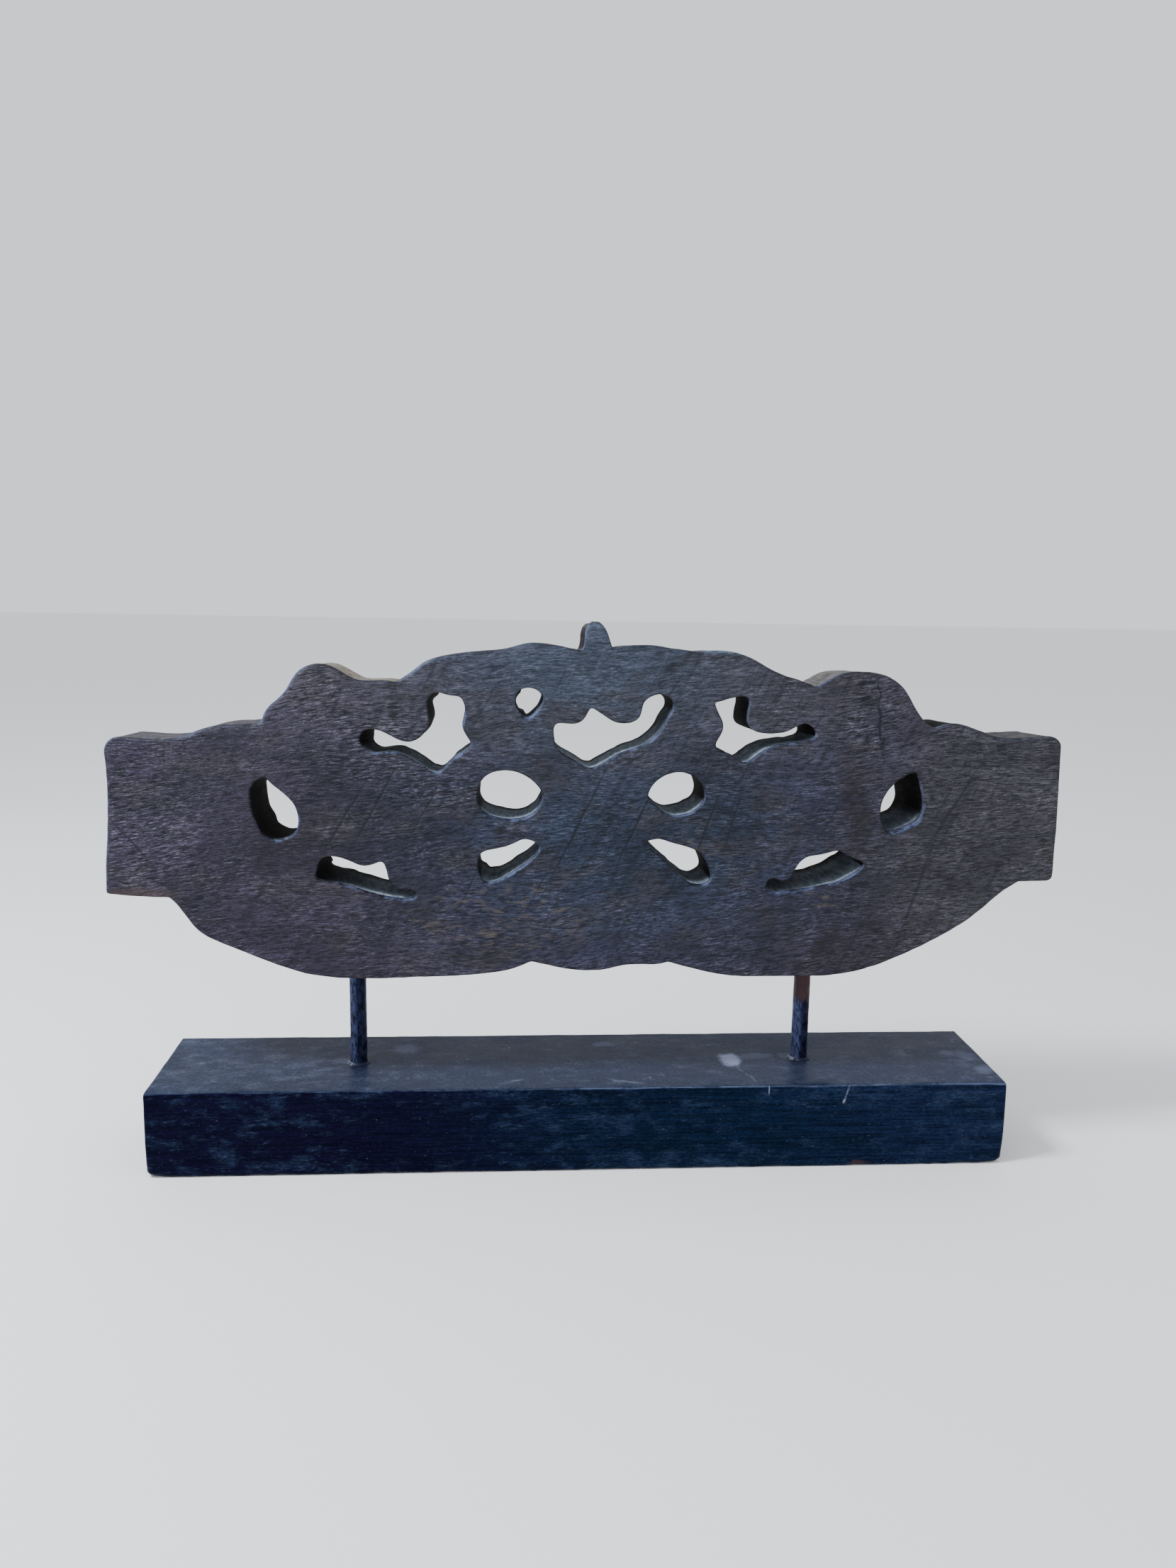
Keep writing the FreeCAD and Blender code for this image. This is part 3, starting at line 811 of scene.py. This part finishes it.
def make_hardwood():
    """Dark stained hardwood: pale scratches along the grain, saw marks, worn brown edges, a painted
    sheen and painted rim highlights.
    """
    s = Shader("blackened_hardwood", 0.22, (0.8, 0.88, 1))
    bent = s.wobbled(95, 9, 0.5)
    ragged = s.wobbled(9, 3)

    # The colour drifts from violet-brown stain at the left end, through a painted blue sheen in the
    # middle, to grey-brown stain.
    color = s.mix(s.oval(25, 205, 120, 85, soft=0.7), VIOLET_STAIN, BLUE_SHEEN)
    color = s.mix(s.oval(275, 195, 95, 120, tilt=-27, soft=0.35), color, GREY_STAIN)
    color = s.scaled(color, s.less(s.times(s.oval(-140, 200, 66, 34, -15, 0.7), 0.42)))
    upper = s.mix(s.oval(-5, 295, 75, 45, soft=0.7), PALE_VIOLET, PALE_BLUE)
    high_up = s.oval(20, 300, 190, 58, soft=0.8)
    color = s.cover(color, high_up, 0.8, upper)
    cloud = s.noise((46, 60, 26), 3, 0.5)
    color = s.scaled(color, s.ramp(cloud, 0.28, 0.72, 0.7, 1.25))
    brown = s.ramp(s.noise((34, 34, 17), 4, 0.6, shift=400), 0.49, 0.66)
    color = s.cover(color, brown, 0.5, BROWN_STAIN)

    # Slits and scratches run nearly level, a little up to the right, and waver.
    long_grain = s.noise((30, 3, 1.8), 3, 0.6, tilt=3, place=bent)
    slit = s.noise((5.2, 1.9, 0.72), 2, 0.5, tilt=6, warp=0.12, place=bent, shift=50)
    hair = s.noise((4.2, 1.2, 0.4), 1, 0.5, tilt=4, place=bent, shift=90)
    grit = s.noise((1.6, 1.5, 0.9), 2, 0.6, shift=130)
    patchy = s.ramp(s.noise((26, 30, 18), 2, 0.5, shift=200), 0.38, 0.62, 0.15, 1)
    rough = s.highest(
        s.oval(-120, 246, 34, 26, 0, 0.5, ragged),
        s.oval(165, 267, 17, 22, 0, 0.5, ragged),
        (s.oval(-150, 272, 26, 14, 0, 0.6, ragged), 0.6),
        (s.oval(-252, 190, 26, 62, 8, 0.6, ragged), 0.7),
        s.oval(-84, 220, 20, 8, -4, 0.6, ragged),
    )
    shade = s.plus(0.55, (s.ramp(long_grain, 0.4, 0.64), 0.4), (s.ramp(grit, 0.3, 0.7), 0.35))
    dark_slit = s.ramp(slit, s.plus(0.46, (rough, 0.02)), 0.415)
    slit_depth = s.plus(0.66, (rough, 0.2), (high_up, -0.16))
    dark_line = s.highest((dark_slit, slit_depth), (s.ramp(hair, 0.43, 0.38), 0.35))
    color = s.scaled(color, s.times(shade, s.less(dark_line)))
    fibres = s.plus((s.ramp(slit, 0.58, 0.64), 0.5), (s.ramp(hair, 0.57, 0.63), 0.35))
    fibres = s.times(fibres, s.plus(patchy, (rough, 0.6)), s.ramp(grit, 0.38, 0.55, 0.3, 1))
    lift = s.plus(3.5, (rough, 0.9), (high_up, -0.9))
    color = s.mix(fibres, color, s.scaled(s.mix(0.35, color, PALE_FIBRE), lift))

    # Marks left by the saw and by splits.
    wavering = s.wobbled(16, 1.1)
    marks = s.highest(*[(s.oval(*mark, 0.8, wavering), 1.2 * strength)
                        for *mark, strength in SAW_MARKS])
    marks = s.times(marks, s.ramp(grit, 0.3, 0.6, 0.35, 1))
    split = s.times(s.oval(169, 264, 0.8, 24, 6, 0.6, s.wobbled(6, 4)), 0.7,
                    s.ramp(grit, 0.3, 0.5, 0.3, 1))
    split = s.highest(split, (s.oval(163, 285, 6, 0.8, 20, 0.6, s.wobbled(5, 2)), 0.8))
    bands = s.noise((70, 60, 3.2), 1, 0.5, tilt=63, shift=30)
    bands = s.ramp(bands, 0.57, 0.68)
    color = s.mix(s.highest(marks, split, (bands, 0.3)), color, SAW_BLACK)

    # Dark worn blotches, and small tan flecks where the stain has gone.
    blotch = s.highest(
        s.oval(157, 208, 8, 22, 12, 0.6, ragged),
        s.oval(141, 132, 6, 13, -35, 0.5, ragged),
        (s.oval(-172, 186, 16, 14, 0, 0.8, ragged), 0.45),
        (s.oval(205, 175, 45, 40, 0, 0.9), 0.2),
        (s.oval(130, 140, 90, 24, 0, 0.8), 0.28),
        s.oval(-110, 280, 6, 2.6, 0, 0.6, ragged),
        (s.oval(-108, 268, 4, 9, 0, 0.7, ragged), 0.6),
        (s.oval(50, 294, 11, 2.2, 42, 0.6, ragged), 0.7),
    )
    blotch = s.times(blotch, s.ramp(slit, 0.6, 0.46, 0.45, 1))
    color = s.cover(color, blotch, 0.78, WORN_DARK)
    flecked = s.highest(
        s.oval(-50, 146, 52, 19, 0, 0.5),
        (s.oval(60, 184, 18, 16), 0.8),
        (s.oval(136, 158, 14, 6), 0.9),
    )
    fleck = s.ramp(s.noise((8, 6, 3), 2, 0.5, tilt=4, shift=700), 0.52, 0.68)
    fleck = s.times(fleck, flecked, s.ramp(slit, 0.4, 0.5, 0.3, 1))
    color = s.cover(color, fleck, 0.6, TAN_FLECK)

    # Rims: a painted highlight in patches where they look up and left, towards the lamp; dark or
    # bare brown elsewhere.
    wear = s.attribute("wear")
    chipped = s.ramp(s.noise((9, 9, 9), 4, 0.65, shift=900), 0.44, 0.6)
    round_outline = s.ramp(s.attribute("outside"), 0, 0.15)
    dulled = s.highest((wear, s.less(chipped), 0.55), (round_outline, 0.4))
    color = s.scaled(color, s.less(dulled))
    upwards = s.towards(-0.6, -0.25, 0.75, 0.3, 0.8)
    at_openings = s.times(s.less(round_outline), upwards, chipped)
    leftwards = s.towards(-0.8, -0.3, 0.5, 0.62, 0.92)
    at_outline = s.times(leftwards, s.plus(0.45, (chipped, 0.55)))
    # A painted highlight on the rounded rims that face the lamp.
    rim_highlight = s.times(s.ramp(wear, 0.35, 0.85), s.highest(at_openings, at_outline))
    color = s.cover(color, rim_highlight, 0.9, RIM_HIGHLIGHT)
    bared = s.times(wear, chipped, s.towards(0.25, 0, -1, 0.15, 0.6))
    color = s.cover(color, bared, 0.8, BARE_RIM)
    worn_end = s.oval(-253, 161, 20, 3.2, 0, 0.6, s.wobbled(8, 1.5))
    color = s.cover(color, worn_end, 0.6, WORN_END)
    # A painted sheen along the top edge in the middle.
    top_edge = s.plus(s.oval(58, 307, 52, 7, -6, 0.7), (cloud, 0.5))
    sheen = s.times(s.ramp(top_edge, 0.75, 1.2), s.ramp(slit, 0.45, 0.55, 0.35, 1))
    color = s.cover(color, sheen, 0.75, SHEEN)

    height = s.plus((slit, 1.1), (hair, 0.4), (long_grain, 0.4), (grit, 0.3), (split, -2),
                    (marks, -0.8))
    return s.finish(color, s.ramp(long_grain, 0.3, 0.7, 0.36, 0.52), s.bump(height, 0.5))


def make_sawn_walls():
    """Matte sawn edges: black and brown, the black in the openings a painted shade, and pale dust
    with painted top light on those that look up.
    """
    s = Shader("sawn_walls", 0.03)
    depth, outside = s.attribute("depth"), s.attribute("outside")
    rasp = s.noise((2.4, 11, 2.4), 3, 0.6, shift=300)
    cloud = s.noise((16, 16, 16), 3, 0.6, shift=350)
    streaks = s.ramp(rasp, 0.35, 0.65)
    # The openings' walls: a near-black painted shade near the plain face, turning brown towards the
    # far face.
    black = s.mix(s.ramp(rasp, 0.45, 0.7), (0.0035, 0.0035, 0.0045), (0.01, 0.008, 0.007))
    brown = s.mix(s.ramp(rasp, 0.4, 0.7), (0.008, 0.005, 0.004), (0.034, 0.021, 0.013))
    color = s.cover(black, s.ramp(depth, 0.2, 0.9), s.ramp(cloud, 0.4, 0.6), brown)
    stained = s.mix(streaks, (0.012, 0.01, 0.012), (0.034, 0.028, 0.03))
    color = s.mix(outside, color, stained)

    # Bluish dust with painted top light on the openings' up-facing walls, thickest in the middle
    # ones and none in those on the left.
    dust = s.mix(streaks, (0.15, 0.188, 0.245), (0.27, 0.318, 0.372))
    dust_and_light_amount = s.plus(0.45, *[(s.oval(*spot), more) for *spot, more in DUST_AND_LIGHT_IN_OPENINGS])
    dust = s.scaled(dust, s.times(dust_and_light_amount, s.ramp(depth, 0.05, 0.6, 1.15, 0.9)))
    dark_left = s.less(s.oval(-175, 190, 42, 45, soft=0.35))

    # Dust with painted top light on the crest: brownish on the left hump, almost none right of the
    # right hump.
    crest = s.mix(s.ramp(cloud, 0.4, 0.6), (0.046, 0.043, 0.053), (0.07, 0.065, 0.066))
    crest = s.mix(s.oval(-140, 290, 40, 30, soft=0.4), crest, (0.18, 0.163, 0.135))
    crest = s.mix(s.oval(-235, 245, 60, 40, soft=0.5), crest, (0.074, 0.068, 0.08))
    crest = s.scaled(crest, s.less(s.times(s.oval(205, 260, 34, 40, soft=0.4), 0.85)))
    right_hump = s.oval(140, 290, 24, 20, soft=0.4)
    crest = s.cover(crest, right_hump, 0.9, (0.118, 0.111, 0.11))
    dust = s.mix(outside, dust, s.scaled(crest, s.ramp(rasp, 0.3, 0.7, 0.7, 1.2)))
    # Pale dust and painted top light on the walls that look up.
    dust_and_top_light = s.times(s.towards(-0.12, 0, 1, 0.35, 0.9),
                    s.highest((s.ramp(depth, 0.92, 0.6), dark_left), outside))
    color = s.cover(color, dust_and_top_light, s.ramp(cloud, 0.25, 0.5, 0.6, 1), dust)
    return s.finish(color, 0.85, s.bump(s.plus(rasp, (cloud, 0.5)), 0.4))


def make_painted_wood():
    """Black paint over wood: the grain shows through, dust on top, pale worn edges."""
    s = Shader("black_painted_wood", 0.06, (0.3, 0.5, 1))
    ragged = s.wobbled(7, 2.5)
    level = s.towards(0, 0, 1, 0.6, 0.9)

    # Upright faces: blue-black, with level grain, broken steel-blue rubs and short pale dashes.
    grain = s.noise((40, 30, 0.9), 3, 0.6)
    dash = s.noise((4.6, 4.6, 0.6), 1, 0.5, shift=60)
    fine = s.noise((1.8, 1.6, 0.8), 2, 0.6, shift=90)
    teal = s.oval(125, 24, 155, 60, soft=0.8)
    upright = s.mix(teal, (0.0024, 0.0009, 0.0098), (0.0018, 0.0064, 0.0185))
    right_end = s.oval(215, 24, 75, 70)
    upright = s.mix(right_end, upright, (0.0042, 0.0082, 0.026))
    shade = s.times(s.ramp(grain, 0.38, 0.62, 0.55, 1.35), s.ramp(fine, 0.3, 0.7, 0.6, 1.4))
    upright = s.scaled(upright, shade)
    rubbed_more = s.plus(*[(s.oval(*spot, soft=0.8), more) for *spot, more in RUBS_ON_FRONT])
    rub = s.noise((15, 12, 6.5), 7, 0.78, shift=150)
    rubs = s.ramp(s.plus(rub, rubbed_more), 0.5, 0.74)
    rubs = s.times(rubs, s.ramp(dash, 0.35, 0.6, 0.55, 1))
    upright = s.cover(upright, rubs, s.ramp(fine, 0.3, 0.7, 0.45, 1), RUBBED_PAINT)
    dashes = s.times(s.ramp(dash, 0.61, 0.68), s.plus(0.12, (rubs, 0.8)),
                     s.less(s.times(teal, 0.35)))
    upright = s.cover(upright, dashes, 0.7, (0.036, 0.054, 0.105))
    chip = s.oval(162, 2.2, 5, 1.3, 0, 0.7, ragged)
    upright = s.cover(upright, chip, 0.45, (0.075, 0.036, 0.026))

    # The top: grey-blue paint under a film of dust, heavier towards the left end.
    film = s.noise((34, 22, 20), 5, 0.66, shift=250)
    top = s.mix(s.ramp(film, 0.35, 0.65), (0.013, 0.018, 0.036), (0.023, 0.029, 0.053))
    cloudy = s.noise((13, 8, 8), 5, 0.7, shift=350)
    dustier = s.plus(
        (s.level_oval(-195, 2, 75, 34, soft=0.7), 0.1),
        (s.level_oval(-168, 3, 20, 10, soft=0.8), 0.1),
        (s.level_oval(236, -8, 12, 26, 8, 0.8), 0.12),
        (s.level_oval(205, 8, 10, 8, soft=0.8), 0.1),
    )
    dust = s.ramp(s.plus(cloudy, dustier), 0.5, 0.88)
    top = s.cover(top, dust, 0.55, (0.074, 0.078, 0.124))
    shade = s.times(s.ramp(fine, 0.3, 0.7, 0.72, 1.28), s.ramp(cloudy, 0.3, 0.7, 0.88, 1.12))
    top = s.scaled(top, shade)
    nicks = s.noise((4.5, 2.6, 2.6), 2, 0.6, warp=0.8, shift=450)
    nicks = s.ramp(nicks, 0.735, 0.77)
    hairs = s.noise((9, 5, 5), 1, 0.5, warp=1.2, shift=520)
    hairs = s.ramp(s.math("ABSOLUTE", s.plus(hairs, -0.5)), 0.01, 0.003)
    hairs = s.times(hairs, s.ramp(s.noise((26, 16, 16), 2, 0.5, shift=560), 0.56, 0.64), 0.6)
    long_scuff = s.level_oval(97, -25, 0.9, 10, 18, 0.7, s.wobbled(7, 4.5))
    scuffs = s.highest(
        (long_scuff, s.ramp(cloudy, 0.42, 0.56)),
        s.level_oval(-40, -30, 5, 1.1, 25, 0.6, ragged),
        s.level_oval(24, -33, 9, 1.2, -20, 0.6, ragged),
    )
    top = s.mix(s.highest((nicks, 0.55), hairs, (scuffs, 0.45)), top, (0.13, 0.15, 0.21))
    lumpy = s.noise((5, 6, 6), 3, 0.6, shift=610)
    smudges = s.highest(*[s.level_oval(*smudge, 0, 0.8, ragged) for smudge in SMUDGES_ON_TOP])
    smudges = s.ramp(s.plus(smudges, lumpy), 0.85, 1.45)
    top = s.cover(top, smudges, 0.6, (0.07, 0.08, 0.135))
    spot = s.plus(s.level_oval(91, -3, 7.5, 11, 0, 0.7, ragged), (lumpy, 0.9))
    top = s.mix(s.ramp(spot, 0.78, 1.4), top, (0.2, 0.23, 0.34))

    # Specks everywhere, three scratches in front, and edges rubbed most on the right.
    color = s.mix(level, upright, top)
    specks = s.ramp(s.noise((1.9, 1.5, 0.9), 1, 0.5, shift=550), 0.74, 0.82)
    color = s.cover(color, specks, 0.45, (0.1, 0.13, 0.19))
    long_scratch = s.oval(153.5, 46, 5.2, 0.5, 76, 0.6, s.wobbled(5, 1))
    scratch = s.highest(
        (long_scratch, s.ramp(fine, 0.35, 0.65, 0.15, 0.65)),
        (s.oval(151.8, 41, 1.4, 0.6, 70, 0.6), 0.9),
        (s.oval(107, 48.5, 2.8, 0.4, 90, 0.5), 0.65),
    )
    in_front = s.towards(0, -1, 0, 0.3, 0.6)
    color = s.cover(color, scratch, in_front, (0.2, 0.22, 0.29))
    wear = s.ramp(s.attribute("wear"), 0.25, 0.75)
    broken = s.ramp(s.noise((16, 9, 9), 3, 0.6, shift=650), 0.42, 0.62)
    right_part = s.times(s.level_oval(130, 0, 170, 400, soft=0.35), s.plus(0.45, broken))
    rubbed = s.times(wear, s.highest((broken, 0.45), right_part))
    upwards = s.towards(0, -0.6, 1, 0.5, 0.9)
    color = s.mix(s.times(rubbed, upwards, 0.55), color, (0.075, 0.098, 0.16))

    height = s.plus((grain, 0.6), (dash, 0.25), (film, 0.5), (fine, 0.3))
    return s.finish(color, s.ramp(film, 0.35, 0.65, 0.32, 0.46), s.bump(height, 0.22))


def make_painted_iron():
    """Thick brushed black paint with a painted highlight down the side towards the lamp, gone from
    one rod just below the panel.
    """
    s = Shader("black_painted_iron", 0.12, (0.35, 0.5, 1))
    patches = s.noise((2.6, 2.6, 5), 4, 0.65)
    brush = s.noise((1, 1, 5), 3, 0.6, tilt=12, shift=40)
    color = s.mix(s.ramp(patches, 0.4, 0.62), (0.002, 0.0024, 0.0085), (0.013, 0.016, 0.042))
    # A painted highlight in brush strokes down the left side, which faces the lamp.
    lit = s.times(s.towards(-1, -0.7, 0, 0.5, 0.95),
                  s.ramp(brush, 0.4, 0.56, 0.1, 1))
    color = s.cover(color, lit, 0.9, (0.078, 0.094, 0.2))
    rusty = s.ramp(s.noise((4, 4, 5), 3, 0.6, shift=80), 0.56, 0.66)
    color = s.cover(color, rusty, 0.8, (0.034, 0.024, 0.036))
    bare = s.oval(134, 103, 14, 13, 0, 0.25, s.wobbled(6, 5))
    color = s.cover(color, bare, s.ramp(brush, 0.3, 0.55, 0.6, 1), (0.058, 0.03, 0.025))
    height = s.plus(patches, (brush, 0.5))
    return s.finish(color, s.ramp(patches, 0.3, 0.7, 0.28, 0.5), s.bump(height, 0.6))


def make_glue():
    """Dull grey hardened glue, bare on its left side and painted over elsewhere."""
    s = Shader("hardened_glue", 0.15)
    patches = s.noise((2.4, 2.4, 1.6), 3, 0.6)
    bare = s.times(s.towards(-1, -0.1, 0.4, 0.35, 0.85), s.ramp(patches, 0.4, 0.56))
    color = s.mix(bare, (0.01, 0.014, 0.034), (0.17, 0.19, 0.24))
    return s.finish(color, s.ramp(patches, 0.3, 0.7, 0.4, 0.6), s.bump(patches, 0.3))


# ---- floor, light and camera, in metres

FLOOR_REACH = 12
LAMP_PLACE, LAMP_TARGET = Vector((-0.95, -0.35, 1.35)), Vector((0, 0, 0.15))
LAMP_SIZE = 0.34
LAMP_WATTS = 32
CAMERA_PLACE = Vector((-0.0482, -0.6809, 0.3345))
CAMERA_FORWARD = Vector((0.0711, 0.9841, -0.163)).normalized()
CAMERA_ROLL = math.radians(0.99)
CAMERA_LENS, CAMERA_FILM = 27.03, 36  # mm


def add_floor():
    """A plain pale floor that reaches to the horizon."""
    corners = [(x * FLOOR_REACH, y * FLOOR_REACH, 0)
               for x, y in ((-1, -1), (1, -1), (1, 1), (-1, 1))]
    floor = add_mesh("floor", corners, [(0, 1, 2, 3)])
    s = Shader("pale_floor", 0.1)
    s.coat({"Base Color": (0.86, 0.86, 0.87), "Roughness": 0.9})
    floor.data.materials.append(s.material)


def add_lights():
    """Soft even light from everywhere, and a square bluish lamp high up on the left."""
    world = bpy.data.worlds.new("studio")
    world.use_nodes = True
    background = world.node_tree.nodes["Background"]
    background.inputs["Color"].default_value = (0.93, 0.96, 1, 1)
    background.inputs["Strength"].default_value = 1.15
    bpy.context.scene.world = world
    light = bpy.data.lights.new("key", "AREA")
    light.shape = "RECTANGLE"
    light.size = light.size_y = LAMP_SIZE
    light.energy = LAMP_WATTS
    light.color = (0.90, 0.95, 1)
    lamp = add_object("key", light)
    lamp.location = LAMP_PLACE
    lamp.rotation_euler = (LAMP_TARGET - LAMP_PLACE).to_track_quat("-Z", "Y").to_euler()


def add_camera():
    """A phone camera a little left of the middle, looking slightly down."""
    data = bpy.data.cameras.new("camera")
    data.lens = CAMERA_LENS
    data.sensor_width = CAMERA_FILM
    camera = add_object("camera", data)
    level = CAMERA_FORWARD.cross(Vector((0, 0, 1))).normalized()
    lifted = level.cross(CAMERA_FORWARD)
    right = level * math.cos(CAMERA_ROLL) + lifted * math.sin(CAMERA_ROLL)
    upward = right.cross(CAMERA_FORWARD)
    place = Matrix((right, upward, -CAMERA_FORWARD)).transposed().to_4x4()
    place.translation = CAMERA_PLACE
    camera.matrix_world = place
    bpy.context.scene.camera = camera


painted_iron = make_painted_iron()
glue = make_glue()
build_panel(make_hardwood(), make_sawn_walls())
build_base(make_painted_wood())
for side in SIDES:
    build_rod(side, painted_iron)
    build_collar(side, glue)

add_floor()
add_lights()
add_camera()
